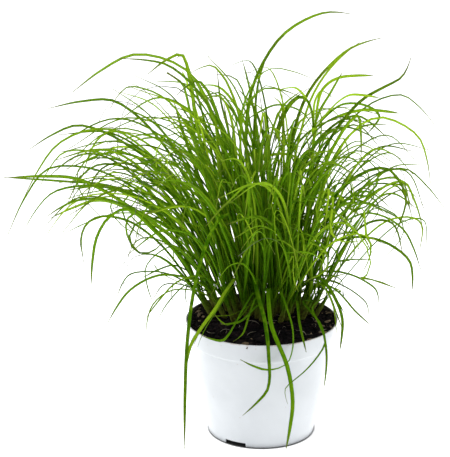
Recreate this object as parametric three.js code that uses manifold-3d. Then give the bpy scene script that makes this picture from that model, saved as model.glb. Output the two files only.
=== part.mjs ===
import * as THREE from "three";
import { mergeVertices } from "three/addons/utils/BufferGeometryUtils.js";
import Module from "manifold-3d";

// Umbrella sedge in a nursery pot. Millimetres, +Z up, the front is -Y.
// The origin is the middle of the pot's base, on the surface that it stands on.

// Pot
const potHeight = 93;
const potTopRadius = 60;
const potBaseRadius = 42;
const wallThickness = 1.2;
const collarHeight = 15;
const collarStep = 1.3;
const lipRound = 0.5;
const footHeight = 4;
const padRadius = 20;
const padSlope = 3;
const notchCount = 3;
const notchWidth = 18;
const notchHeight = 3.5;
const notchDepth = 8;
const firstNotchAngle = -118.5;
const potSides = 36;

// Soil
const soilBelowLip = 4;
const moundHeight = 1.5;
const bumpHeight = 0.5;
const bumpPitch = 36;
const soilSides = 26;
const soilRings = [48, 36, 23, 11];
const fitGap = 0.3;

// Crown: the patch of soil that the shoots stand on, with one place for each
const crownCentre = [0, 20];
const crownHalf = [44, 26];
const placeCount = 48;
const goldenAngle = Math.PI * (3 - Math.sqrt(5));
const uprightLean = 5;
const edgeLean = 30;

// Sheathed base of a shoot
const sheathLength = 20;
const sheathFootRadius = 2.5;
const sheathTopRadius = 1.9;
const footGap = 0.5;

// Blades
const innerBlades = 7;
const outerBlades = 4;
const fewestBlades = 3;
const mostLeadingBlades = 2;
const leadingChoices = 4;
const bladeGap = 0.3;
const rootedShare = 0.4;
const partingAngle = 28;
const edgeLift = 0.12;
const keelDepth = 0.22;
const footWidth = 0.55;
const widening = 1.6;
const tipPower = 2.2;
const bladeTwist = 50;
const nudgeStep = 3;
const nudgeTries = 25;
const lipRoom = 0.5;
const lowestTip = 4;

// Filling blades: angles in degrees, the most that chance adds to the least value, and the share of
// its tip's strides that a blade drifts to the left, as the whole tussock does. They stay under a
// roof that falls to both sides of its ridge.
const fillerSegments = 5;
const fillerTries = 300;
const fillerSeed = 6;
const fillerCentre = [-18, 20];
const fillerHalf = [158, 140];
const fillerTop = 305;
const fillerRidge = -45;
const roofSlope = 0.4;
const backTop = 325;
const backSlope = 0.385;
const fillerSteps = 12;
const fillerStride = 3;
const edgeSpread = 50;
const innerSpread = 120;
const leastLeanShare = 0.5;
const moreLeanShare = 1.1;
const leastDroop = 60;
const edgeDroop = 50;
const moreDroop = 90;
const droopPower = 3.2;
const leastLength = 140;
const innerLength = 70;
const moreLength = 130;
const leftDrift = 0.25;
const swirlRange = 80;
const leastWidth = 1.5;
const moreWidth = 1.5;
const twistRange = 160;

// Umbrella stem
const culmPlace = [31, 20];
const culmThrough = [[34, 21, 150], [38, 22, 208]];
const headCentre = [40, 22, 242];
const culmSide = 3;
const culmSteps = 8;
const hubRadius = 2.6;
const hubHeight = 6;

// Bracts of the umbrella: the width, and the points that each passes on its way to its tip
const bracts = [
  [2.6, [46, 30, 271], [59, 36, 279], [86, 44, 279]],
  [2.4, [44, 16, 258], [50, 8, 271], [60, 0, 292]],
  [2.4, [52, 12, 260], [66, 4, 273], [88, -8, 274]],
  [2.2, [60, 33, 258], [82, 46, 254], [92, 52, 244], [83, 56, 229]],
  [2.6, [58, 20, 252], [78, 22, 257], [105, 16, 256]],
  [3.0, [36, 16, 262], [28, 10, 270], [18, 4, 261], [9, -4, 237]],
  [2.0, [36, 34, 258], [26, 46, 268], [10, 62, 262]],
  [2.0, [40, 40, 256], [46, 62, 262], [56, 88, 250]],
  [1.8, [30, 26, 254], [10, 32, 258], [-12, 34, 246]],
];

// Blades that stand out one by one: the foot, the width, and the points on the way to the tip
const leadingBlades = [
  [[0, 10], 3.8, [-13, -14, 148], [-29, -44, 194], [-46, -58, 160], [-56, -64, 100], [-59, -60, 7]],
  [[2, 4], 4.2, [-6, -15, 134], [3, -50, 108], [6, -67, 84], [5, -71, 63], [-14, -72, 42]],
  [[4, 0], 4.4, [5, -22, 127], [8, -54, 106], [19, -73, 85], [24, -76, 54], [19, -74, 14]],
  [[-16, 2], 3.4, [-19, -10, 130], [-36, -38, 114], [-54, -56, 91], [-58, -60, 70]],
  [[-4, -2], 2.8, [-5, -14, 119], [-21, -44, 103], [-30, -60, 97], [-45, -60, 101]],
  [[4, -2], 2.2, [-4, -12, 111], [-17, -22, 106], [-31, -30, 107]],
  [[14, 0], 2.8, [14, -20, 124], [24, -52, 102], [20, -63, 81], [4, -64, 75], [-16, -68, 85]],
  [[24, 2], 2.4, [27, -16, 114], [29, -44, 106], [34, -62, 89]],
  [[28, 2], 2.6, [32, -16, 113], [46, -42, 102], [50, -53, 79], [48, -55, 56]],
  [[34, 0], 2.2, [39, -20, 112], [48, -46, 98], [31, -59, 79], [18, -66, 69], [20, -66, 57]],
  [[-12, 30], 3.0, [-32, 38, 220], [-57, 40, 281], [-102, 42, 295], [-150, 45, 264]],
  [[-4, 12], 2.6, [-21, 8, 212], [-44, 0, 269], [-73, -8, 299], [-108, -15, 305]],
  [[-8, 22], 3.6, [-39, 18, 193], [-52, 14, 253], [-63, 10, 303], [-88, 6, 288]],
  [[-20, 36], 2.8, [-54, 50, 175], [-81, 62, 219], [-120, 75, 250], [-175, 92, 239]],
  [[-14, 6], 1.8, [-48, -5, 224], [-71, -14, 272], [-102, -24, 285], [-114, -28, 270]],
  [[-26, 20], 2.6, [-57, 22, 183], [-102, 24, 225], [-145, 24, 243], [-183, 24, 223]],
  [[-30, 12], 2.2, [-64, 6, 196], [-116, -6, 248], [-156, -20, 239], [-182, -30, 198]],
  [[-30, 30], 2.0, [-62, 42, 169], [-110, 55, 205], [-161, 70, 208], [-184, 78, 172]],
  [[-38, 22], 3.4, [-53, 20, 143], [-102, 16, 178], [-145, 10, 204], [-200, 0, 207]],
  [[-36, 30], 2.4, [-58, 34, 150], [-113, 40, 187], [-151, 44, 191], [-207, 52, 192]],
  [[-36, 12], 2.0, [-56, 2, 149], [-109, -18, 212], [-162, -38, 225], [-191, -54, 178]],
  [[-40, 28], 2.8, [-54, 34, 134], [-118, 52, 177], [-174, 70, 168], [-200, 80, 130]],
  [[-42, 16], 3.6, [-61, 10, 136], [-111, -6, 189], [-145, -20, 194], [-165, -28, 184]],
  [[-42, 24], 3.0, [-61, 30, 139], [-110, 44, 170], [-133, 50, 174], [-172, 62, 155]],
  [[-34, 4], 2.2, [-48, -8, 142], [-98, -26, 187], [-126, -38, 186], [-151, -46, 176]],
  [[-38, 6], 3.2, [-56, -4, 134], [-107, -30, 193], [-124, -42, 176], [-129, -50, 137]],
  [[-28, 40], 1.8, [-67, 62, 146], [-117, 82, 173], [-171, 104, 156]],
  [[-22, 0], 1.8, [-51, -22, 165], [-85, -40, 198], [-96, -54, 170]],
  [[-30, -2], 1.8, [-48, -18, 139], [-66, -32, 163], [-80, -38, 167]],
  [[-38, 12], 2.2, [-48, -4, 130], [-69, -18, 158], [-89, -32, 145], [-83, -36, 117]],
  [[-40, 34], 1.8, [-46, 42, 110], [-70, 54, 124], [-97, 66, 109]],
  [[-42, 20], 1.8, [-45, 18, 108], [-76, 8, 125], [-105, -4, 127], [-114, -8, 110]],
  [[-40, 6], 2.4, [-48, -6, 124], [-79, -22, 136], [-103, -34, 126], [-118, -41, 104]],
  [[-36, 2], 2.2, [-45, -10, 131], [-66, -22, 130], [-90, -34, 104]],
  [[-2, 34], 3.0, [-11, 36, 188], [-10, 44, 263], [16, 52, 310], [49, 58, 326], [68, 62, 324]],
  [[-6, 10], 2.4, [-15, 4, 205], [-14, -4, 275], [5, -14, 304], [38, -28, 299]],
  [[16, 36], 3.0, [18, 44, 194], [35, 52, 262], [69, 62, 297], [94, 68, 304]],
  [[20, 24], 2.4, [23, 26, 199], [39, 28, 268], [58, 30, 295], [74, 32, 308]],
  [[22, 14], 3.0, [33, 8, 188], [52, 4, 239], [77, 0, 272], [105, -4, 290], [111, -5, 305]],
  [[26, 30], 1.8, [39, 38, 179], [74, 48, 247], [110, 58, 260], [137, 66, 234]],
  [[28, 12], 2.2, [43, 4, 181], [66, -6, 244], [88, -12, 260], [118, -20, 246], [127, -24, 212]],
  [[24, 0], 3.4, [38, -12, 194], [58, -22, 248], [71, -26, 265], [74, -28, 231]],
  [[34, 24], 1.8, [50, 28, 161], [78, 34, 195], [113, 42, 204], [146, 50, 169]],
  [[30, 6], 3.0, [43, -8, 173], [70, -22, 215], [94, -30, 225], [108, -38, 203], [98, -40, 172]],
  [[38, 14], 2.4, [55, 8, 157], [83, 0, 193], [108, -6, 208], [124, -12, 171]],
  [[32, 38], 1.8, [50, 50, 154], [82, 60, 184], [110, 68, 181], [123, 74, 151]],
  [[36, 34], 2.0, [45, 44, 159], [70, 54, 172], [122, 76, 144]],
  [[40, 26], 2.2, [50, 30, 144], [84, 38, 163], [115, 46, 146], [130, 50, 111]],
  [[42, 18], 3.0, [52, 14, 149], [88, 4, 158], [115, -4, 142], [117, -6, 116]],
  [[42, 26], 2.0, [46, 28, 122], [70, 32, 121], [92, 38, 105], [94, 40, 94]],
  [[38, 40], 1.8, [45, 46, 113], [62, 52, 123], [89, 60, 122]],
  [[36, 8], 1.8, [39, 0, 115], [53, -6, 127], [66, -10, 132]],
  [[42, 14], 2.0, [50, 8, 119], [61, 4, 114], [73, 0, 101], [86, -4, 90]],
  [[36, 2], 3.4, [44, -8, 130], [57, -16, 116], [63, -20, 99], [61, -25, 75]],
  [[-10, 10], 3.2, [-24, 8, 196], [-37, 6, 262], [-50, 4, 283], [-66, 2, 272]],
  [[0, 24], 2.8, [-10, 26, 200], [-24, 28, 268], [-40, 30, 290], [-58, 32, 282]],
  [[-18, 26], 3.4, [-40, 28, 170], [-62, 32, 235], [-70, 34, 262]],
  [[-6, 34], 2.4, [-20, 40, 205], [-34, 46, 262], [-36, 50, 282]],
  [[2, 14], 2.2, [-6, 10, 195], [-18, 4, 250], [-34, -2, 276], [-54, -8, 268]],
  [[-14, 16], 2.6, [-34, 14, 180], [-50, 12, 230], [-60, 10, 252], [-78, 8, 254]],
  [[-4, 20], 3.0, [-14, 20, 185], [-26, 20, 236], [-30, 18, 262]],
];

const radians = THREE.MathUtils.degToRad;
const vector = (xyz) => new THREE.Vector3(...xyz);
const upward = new THREE.Vector3(0, 0, 1);

const wasm = await Module();
wasm.setup();

// Solids from geometries, and back
function solidOf(geometry) {
  const bare = geometry.clone();
  bare.deleteAttribute("normal");
  bare.deleteAttribute("uv");
  const merged = mergeVertices(bare, 1e-4);
  return new wasm.Manifold(
    new wasm.Mesh({
      numProp: 3,
      vertProperties: merged.attributes.position.array,
      triVerts: new Uint32Array(merged.index.array),
    }),
  );
}

function geometryOf(solid) {
  const mesh = solid.getMesh();
  const geometry = new THREE.BufferGeometry();
  geometry.setAttribute("position", new THREE.BufferAttribute(mesh.vertProperties, 3));
  geometry.setIndex(new THREE.BufferAttribute(mesh.triVerts, 1));
  return geometry;
}

// The walls between two rings, all parted the same way, along the diagonals that are shorter together
function walls(ring, next) {
  const count = ring.length;
  const sides = ring.map((a, i) => [a, ring[(i + 1) % count], next[(i + 1) % count], next[i]]);
  const rising = sides.reduce((sum, [a, , c]) => sum + a.distanceTo(c), 0);
  const falling = sides.reduce((sum, [, b, , d]) => sum + b.distanceTo(d), 0);
  return sides.flatMap(([a, b, c, d]) => (rising < falling ? [a, b, c, a, c, d] : [a, b, d, b, c, d]));
}

// The skin of a blade: three-cornered rings, each counter-clockwise about the way forward, then the tip
function bladeSkin(rings, tip) {
  const last = rings.at(-1);
  return [
    ...rings.slice(1).flatMap((ring, k) => walls(rings[k], ring)),
    ...last.flatMap((corner, i) => [corner, last[(i + 1) % 3], tip]),
  ];
}

function solidOfSkin(skin) {
  return solidOf(new THREE.BufferGeometry().setFromPoints(skin));
}

// Pot
function potProfile() {
  const taper = (potTopRadius - collarStep - potBaseRadius) / potHeight;
  const wallAt = (z) => potBaseRadius + taper * z;
  const collarFoot = potHeight - collarHeight;
  const collarRadius = wallAt(collarFoot) + collarStep;
  const floorTop = footHeight + wallThickness;
  const outline = [
    [0, 0],
    [padRadius, 0],
    [padRadius + padSlope, footHeight],
    [wallAt(footHeight) - wallThickness, footHeight],
    [wallAt(0) - wallThickness, 0],
    [wallAt(0), 0],
    [wallAt(collarFoot - collarStep), collarFoot - collarStep],
    [collarRadius, collarFoot],
    [potTopRadius, potHeight - lipRound],
    [potTopRadius - lipRound, potHeight],
    [potTopRadius - wallThickness, potHeight - lipRound],
    [collarRadius - wallThickness, collarFoot + collarStep],
    [wallAt(collarFoot - collarStep) - wallThickness, collarFoot - collarStep],
    [wallAt(floorTop) - wallThickness, floorTop],
    [padRadius + padSlope - wallThickness / 2, floorTop],
    [padRadius - wallThickness / 2, wallThickness],
    [0, wallThickness],
  ];
  return { outline, wallAt, collarFoot, collarRadius, floorTop };
}

function potGeometry() {
  const outline = potProfile().outline.map(([r, z]) => new THREE.Vector2(r, z));
  const turned = new THREE.LatheGeometry(outline, potSides).rotateX(Math.PI / 2);
  let pot = solidOf(turned);
  for (let k = 0; k < notchCount; k += 1) {
    const angle = radians(firstNotchAngle + (360 / notchCount) * k);
    const notch = new THREE.BoxGeometry(notchDepth, notchWidth, 2 * notchHeight);
    notch.translate(potBaseRadius, 0, 0).rotateZ(angle);
    pot = pot.subtract(solidOf(notch));
  }
  return geometryOf(pot);
}

// Soil
function soilTop(x, y) {
  const mound = moundHeight * (1 - (x * x + y * y) / (potTopRadius * potTopRadius));
  const wave = (2 * Math.PI) / bumpPitch;
  const bump = Math.sin(wave * x + 1) * Math.cos(wave * y * 1.2) + Math.sin(wave * (x * 0.6 - y) + 2);
  return potHeight - soilBelowLip + mound + 0.5 * bumpHeight * bump;
}

function soilGeometry() {
  const { wallAt, collarFoot, collarRadius, floorTop } = potProfile();
  const inset = wallThickness + fitGap;
  const edgeHeight = potHeight - soilBelowLip;
  const edgeRadius = THREE.MathUtils.mapLinear(
    edgeHeight, collarFoot, potHeight, collarRadius, potTopRadius) - inset;
  const topRings = [edgeRadius, ...soilRings];
  const outline = [
    [0, wallThickness + fitGap],
    [padRadius - fitGap - wallThickness, wallThickness + fitGap],
    [padRadius + padSlope - wallThickness, floorTop + fitGap],
    [wallAt(floorTop) - inset, floorTop + fitGap],
    [wallAt(collarFoot - collarStep) - inset - fitGap, collarFoot],
    ...topRings.map((r) => [r, edgeHeight]),
    [0, edgeHeight],
  ];
  const skin = new THREE.LatheGeometry(
    outline.map(([r, z]) => new THREE.Vector2(r, z)), soilSides).rotateX(Math.PI / 2);
  const place = skin.attributes.position;
  for (let i = 0; i < place.count; i += 1) {
    if (Math.abs(place.getZ(i) - edgeHeight) < 1e-3) {
      place.setZ(i, soilTop(place.getX(i), place.getY(i)));
    }
  }
  return geometryOf(solidOf(skin));
}

// Blades: a smooth curve, and a three-cornered section that narrows to the tip
function widthAt(width, t) {
  return width * Math.min(1, footWidth + widening * t) * (1 - t ** tipPower);
}

function stationsOf(blade) {
  const curve = new THREE.CatmullRomCurve3(blade.points, false, "centripetal");
  const steps = Array.from({ length: blade.segments + 1 }, (_, k) => k / blade.segments);
  return { curve, steps };
}

function bladeRings(blade) {
  const { curve, steps } = stationsOf(blade);
  const foot = blade.points[0];
  const tip = blade.points.at(-1);
  const heading = new THREE.Vector3(tip.x - foot.x, tip.y - foot.y, 0).normalize();
  const across = new THREE.Vector3().crossVectors(upward, heading);
  return steps.slice(1, -1).map((t) => {
    const place = curve.getPoint(t);
    const along = curve.getTangent(t);
    const side = across.clone().addScaledVector(along, -across.dot(along)).normalize();
    side.applyAxisAngle(along, radians(blade.twist) * t);
    const face = new THREE.Vector3().crossVectors(along, side);
    const width = widthAt(blade.width, t);
    const edge = place.clone().addScaledVector(face, edgeLift * width);
    return [
      edge.clone().addScaledVector(side, width / 2),
      edge.clone().addScaledVector(side, -width / 2),
      place.clone().addScaledVector(face, -keelDepth * width),
    ];
  });
}

// A blade grows out of a three-cornered root, turned to whichever corner fits its first ring best.
function rootedBlade(blade, root) {
  const rings = bladeRings(blade);
  const offset = rings[0][0].clone().add(rings[0][1]).add(rings[0][2]);
  offset.sub(root[0]).sub(root[1]).sub(root[2]).divideScalar(3);
  const turned = [0, 1, 2].map((c) => [root[c], root[(c + 1) % 3], root[(c + 2) % 3]]);
  const misfit = (corners) =>
    corners.reduce((sum, corner, i) => sum + corner.clone().add(offset).distanceTo(rings[0][i]), 0);
  const base = turned.reduce((best, other) => (misfit(other) < misfit(best) ? other : best));
  return bladeSkin([base, ...rings], blade.points.at(-1));
}

// The angle about an axis at which a blade's first station stands, from the given first direction
function angleAbout(centre, axis, first, blade) {
  const { curve, steps } = stationsOf(blade);
  const offset = curve.getPoint(steps[1]).sub(centre);
  const second = new THREE.Vector3().crossVectors(axis, first);
  return Math.atan2(offset.dot(second), offset.dot(first));
}

// Turns that share the circle evenly among blades sorted by angle, as near as can be to their own angles
function evenTurns(angles) {
  const count = angles.length;
  const evenly = (i) => (2 * Math.PI * (i + 0.5)) / count - Math.PI;
  const phase = angles.reduce((sum, angle, i) => sum + angle - evenly(i), 0) / count;
  return angles.map((_, i) => evenly(i) - Math.PI / count + phase);
}

// A shoot in one skin: the sheath has a side for each blade, and each blade rises from its own
// slice of the sheath's top, in the order in which the blades part around the shoot.
function shootSkin({ axis, first, foot, collar, blades }) {
  const second = new THREE.Vector3().crossVectors(axis, first);
  const sorted = blades
    .map((blade) => ({ blade, angle: angleAbout(collar, axis, first, blade) }))
    .sort((a, b) => a.angle - b.angle);
  const turns = evenTurns(sorted.map(({ angle }) => angle));
  const ring = (centre, radius, a, b) =>
    turns.map((turn) =>
      centre
        .clone()
        .addScaledVector(a, radius * Math.cos(turn))
        .addScaledVector(b, radius * Math.sin(turn)));
  const bottom = ring(foot, sheathFootRadius, new THREE.Vector3(1, 0, 0), new THREE.Vector3(0, 1, 0));
  const top = ring(collar, sheathTopRadius, first, second);
  const skin = sorted.flatMap(({ blade }, i) => {
    const next = (i + 1) % sorted.length;
    return [foot, bottom[next], bottom[i], ...rootedBlade(blade, [collar, top[i], top[next]])];
  });
  return [...walls(bottom, top), ...skin];
}

// Room between blades: each segment of a blade is a capsule that no other shoot's blade may touch
const taken = [];

function segmentGap(p, q, u, v) {
  const along = q.clone().sub(p);
  const other = v.clone().sub(u);
  const between = p.clone().sub(u);
  const aa = along.dot(along);
  const oo = other.dot(other);
  const ao = along.dot(other);
  const ab = along.dot(between);
  const ob = other.dot(between);
  const spread = aa * oo - ao * ao;
  const clamp = (value) => Math.min(1, Math.max(0, value));
  const first = spread > 1e-9 ? clamp((ao * ob - ab * oo) / spread) : 0;
  const t = clamp((ao * first + ob) / oo);
  const s = clamp((ao * t - ab) / aa);
  return between.addScaledVector(along, s).addScaledVector(other, -t).length();
}

// The lowest stretch, where the blades of one shoot stand together, is a capsule of its own.
function capsulesOf(blade, owner) {
  const { curve, steps } = stationsOf(blade);
  const places = steps.map((t) => curve.getPoint(t));
  const halves = steps.map((t) => (widthAt(blade.width, t) + bladeGap) / 2);
  const parting = places[0].clone().lerp(places[1], rootedShare);
  places.splice(1, 0, parting);
  halves.splice(1, 0, Math.max(halves[0], halves[1]));
  return places.slice(1).map((to, k) => ({
    from: places[k],
    to,
    radius: Math.max(halves[k], halves[k + 1]),
    owner,
    rooted: k === 0,
  }));
}

function clearOfPot({ from, to, radius }) {
  return [0, 0.25, 0.5, 0.75, 1].every((share) => {
    const p = from.clone().lerp(to, share);
    const overPot = Math.hypot(p.x, p.y) < potTopRadius + radius + lipRoom;
    return p.z > (overPot ? potHeight + radius + bladeGap : lowestTip);
  });
}

function clearOfOthers(capsule) {
  return taken.every(
    (other) =>
      (other.owner === capsule.owner && (other.rooted || capsule.rooted)) ||
      segmentGap(capsule.from, capsule.to, other.from, other.to) > capsule.radius + other.radius,
  );
}

// The blades of one shoot part in different directions.
function partsWell(blade, { collar, axis, first, blades }) {
  const angle = angleAbout(collar, axis, first, blade);
  const nearest = Math.cos(radians(partingAngle));
  return blades.every((other) => Math.cos(angleAbout(collar, axis, first, other) - angle) < nearest);
}

// Whether an edge of a skin passes through one of its triangles, other than those it ends on
function crossesItself(skin) {
  const triangles = Array.from({ length: skin.length / 3 }, (_, k) => skin.slice(3 * k, 3 * k + 3));
  const ray = new THREE.Ray();
  const hit = new THREE.Vector3();
  return triangles.some((corners) =>
    corners.some((from, i) => {
      const to = corners[(i + 1) % 3];
      ray.set(from, to.clone().sub(from).normalize());
      return triangles.some(
        (other) =>
          !other.includes(from) && !other.includes(to) &&
          ray.intersectTriangle(...other, false, hit) && hit.distanceTo(from) < to.distanceTo(from),
      );
    }));
}

// Gives a blade to its place where the room is free and the shoot stays one sound skin.
function settle(blade, place) {
  const capsules = capsulesOf(blade, place.owner);
  const blades = [...place.blades, blade];
  const free =
    partsWell(blade, place) && capsules.every(clearOfPot) && capsules.every(clearOfOthers) &&
    (blades.length < fewestBlades || !crossesItself(shootSkin({ ...place, blades })));
  if (free) {
    taken.push(...capsules);
    place.blades.push(blade);
  }
  return free;
}

// Crown places in a sunflower pattern, more upright in the middle and leaning outwards at the edge
function crownPlaces() {
  return Array.from({ length: placeCount }, (_, k) => {
    const reach = Math.sqrt((k + 0.5) / placeCount);
    const azimuth = k * goldenAngle;
    const x = crownCentre[0] + crownHalf[0] * reach * Math.cos(azimuth);
    const y = crownCentre[1] + crownHalf[1] * reach * Math.sin(azimuth);
    const lean = radians(uprightLean + (edgeLean - uprightLean) * reach);
    const axis = new THREE.Vector3(
      Math.sin(lean) * Math.cos(azimuth), Math.sin(lean) * Math.sin(azimuth), Math.cos(lean));
    const foot = new THREE.Vector3(x, y, soilTop(x, y) + footGap);
    const collar = foot.clone().addScaledVector(axis, sheathLength);
    const first = new THREE.Vector3(1, 0, 0);
    first.addScaledVector(axis, -first.dot(axis)).normalize();
    return { reach, azimuth, lean, axis, first, foot, collar, owner: k, blades: [] };
  });
}

function byDistance(places, [x, y]) {
  const distance = ({ foot }) => Math.hypot(foot.x - x, foot.y - y);
  return [...places].sort((a, b) => distance(a) - distance(b));
}

// Whole numbers in a fixed order, made into draws between 0 and 1
const drawFactor = 1664525;
const drawStep = 1013904223;
let drawState = fillerSeed;
function draw() {
  drawState = (Math.imul(drawState, drawFactor) + drawStep) >>> 0;
  return drawState / 2 ** 32;
}

// A leading blade keeps its outline from the front: it is moved only in depth until it is clear.
function placeLeading(place, width, through) {
  for (let k = 0; k < nudgeTries; k += 1) {
    const shift = nudgeStep * Math.ceil(k / 2) * (k % 2 ? 1 : -1);
    const route = through.map(
      ([x, y, z], i) => new THREE.Vector3(x, y + shift * Math.min(1, (i + 1) / 2), z));
    const points = [place.collar, ...route];
    const blade = { points, width, twist: bladeTwist, segments: 2 * route.length };
    if (settle(blade, place)) return true;
  }
  return false;
}

// A filling blade grows from its sheath, bends over faster and faster towards the tip and drifts left.
function drawFiller(place) {
  const inward = 1 - place.reach;
  const heading = place.azimuth + (draw() - 0.5) * radians(edgeSpread + innerSpread * inward);
  const startLean = place.lean * (leastLeanShare + moreLeanShare * draw());
  const endLean = radians(leastDroop + edgeDroop * place.reach + moreDroop * draw());
  const length = leastLength + innerLength * inward + moreLength * draw();
  const stride = length / fillerSteps;
  const swirl = radians(swirlRange) * (draw() - 0.5);
  const width = leastWidth + moreWidth * draw();
  const twist = twistRange * (draw() - 0.5);
  const points = [place.collar];
  const at = place.collar.clone();
  for (let k = 1; k <= fillerSteps; k += 1) {
    const s = (k - 0.5) / fillerSteps;
    const lean = startLean + (endLean - startLean) * s ** droopPower;
    const turn = heading + swirl * s * s;
    at.x += stride * (Math.sin(lean) * Math.cos(turn) - leftDrift * s);
    at.y += stride * Math.sin(lean) * Math.sin(turn);
    at.z += stride * Math.cos(lean);
    if (k % fillerStride === 0) points.push(at.clone());
  }
  return { points, width, twist, segments: fillerSegments };
}

// Shoots in the middle of the tussock carry more blades than those at its edge.
function bladesWanted({ reach }) {
  return Math.round(THREE.MathUtils.lerp(innerBlades, outerBlades, reach));
}

// Blades at the back arch over under a second slope, which falls towards the back.
function underBack({ x, y, z }) {
  return new THREE.Vector3(x, y, Math.min(z, backTop - backSlope * y));
}

function placeFiller(place) {
  for (let k = 0; k < fillerTries; k += 1) {
    const blade = drawFiller(place);
    const tip = blade.points.at(-1);
    const reach = Math.hypot(
      (tip.x - fillerCentre[0]) / fillerHalf[0], (tip.y - fillerCentre[1]) / fillerHalf[1]);
    const low = blade.points.every(
      ({ x, z }) => z < fillerTop - roofSlope * Math.abs(x - fillerRidge));
    blade.points = blade.points.map(underBack);
    if (reach < 1 && low && settle(blade, place)) return true;
  }
  return false;
}

// Umbrella stem and its whorl of bracts
function culmCurve(foot) {
  const headFoot = vector(headCentre).addScaledVector(upward, -hubHeight - fitGap);
  return new THREE.CatmullRomCurve3([foot, ...culmThrough.map(vector), headFoot], false, "centripetal");
}

function culmGeometry(foot) {
  const corner = culmSide / Math.sqrt(3);
  const section = new THREE.Shape(
    [0, 1, 2].map((k) => new THREE.Vector2(
      corner * Math.cos((2 * Math.PI * k) / 3), corner * Math.sin((2 * Math.PI * k) / 3))),
  );
  const stem = new THREE.ExtrudeGeometry(section, {
    steps: culmSteps,
    bevelEnabled: false,
    extrudePath: culmCurve(foot),
  });
  return geometryOf(solidOf(stem));
}

function bractBlade([width, ...through]) {
  const points = [vector(headCentre), ...through.map(vector)];
  return { points, width, twist: bladeTwist / 2, segments: 2 * through.length };
}

// The hub is a low pyramid on its point, with a bract rising from each slice of its top.
function whorlGeometry() {
  const centre = vector(headCentre);
  const first = new THREE.Vector3(1, 0, 0);
  const sorted = bracts
    .map(bractBlade)
    .map((blade) => ({ blade, angle: angleAbout(centre, upward, first, blade) }))
    .sort((a, b) => a.angle - b.angle);
  const rim = evenTurns(sorted.map(({ angle }) => angle)).map((turn) =>
    new THREE.Vector3(hubRadius * Math.cos(turn), hubRadius * Math.sin(turn), 0).add(centre));
  const point = centre.clone().addScaledVector(upward, -hubHeight);
  const crest = centre.clone().addScaledVector(upward, hubHeight / 2);
  const skin = sorted.flatMap(({ blade }, i) => {
    const next = (i + 1) % sorted.length;
    return [rim[i], point, rim[next], ...rootedBlade(blade, [crest, rim[i], rim[next]])];
  });
  return geometryOf(solidOfSkin(skin));
}

// The whole plant
const places = crownPlaces();
const culm = byDistance(places, culmPlace)[0];
const shoots = places.filter((place) => place !== culm);
const stemCurve = culmCurve(culm.foot);
const stemPlaces = stemCurve.getPoints(culmSteps);
stemPlaces.slice(1).forEach((to, k) => {
  taken.push({ from: stemPlaces[k], to, radius: (culmSide + bladeGap) / 2, owner: culm.owner });
});
shoots.forEach(({ foot, collar, owner }) => {
  taken.push({ from: foot, to: collar, radius: sheathFootRadius, owner, rooted: true });
});
bracts.forEach((row) => taken.push(...capsulesOf(bractBlade(row), culm.owner)));

leadingBlades.forEach(([foot, width, ...through]) => {
  const near = byDistance(shoots, foot).filter((place) => place.blades.length < mostLeadingBlades);
  near.slice(0, leadingChoices).some((place) => placeLeading(place, width, through));
});
for (let round = 1; round <= innerBlades; round += 1) {
  shoots.filter((place) => place.blades.length < Math.min(round, bladesWanted(place))).forEach(placeFiller);
}

// Finishes
const finishes = {
  plastic: new THREE.MeshStandardMaterial({ color: 0xe9ecf2, roughness: 0.35, metalness: 0 }),
  earth: new THREE.MeshStandardMaterial({ color: 0x1d1512, roughness: 0.95, metalness: 0 }),
  blade: new THREE.MeshStandardMaterial({ color: 0x4f8a0f, roughness: 0.5, metalness: 0 }),
  stem: new THREE.MeshStandardMaterial({ color: 0x5f9a20, roughness: 0.5, metalness: 0 }),
};

const group = new THREE.Group();

function addNode(name, geometry, finish) {
  const mesh = new THREE.Mesh(geometry, finishes[finish].clone());
  mesh.name = name;
  group.add(mesh);
}

addNode("pot", potGeometry(), "plastic");
addNode("soil", soilGeometry(), "earth");
addNode("umbrella_stem", culmGeometry(culm.foot), "stem");
addNode("umbrella_bracts", whorlGeometry(), "blade");
shoots.forEach((place, k) => {
  const name = `shoot_${String(k + 1).padStart(2, "0")}`;
  addNode(name, geometryOf(solidOfSkin(shootSkin(place))), "blade");
});

export default group;
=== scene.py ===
"""Umbrella sedge in a nursery pot: fine leaves, soil and pot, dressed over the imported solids.

Metres, +Z up, the front is -Y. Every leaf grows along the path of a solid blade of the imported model,
either on that path or as a finer companion that leaves the same sheath beside it.
"""

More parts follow.
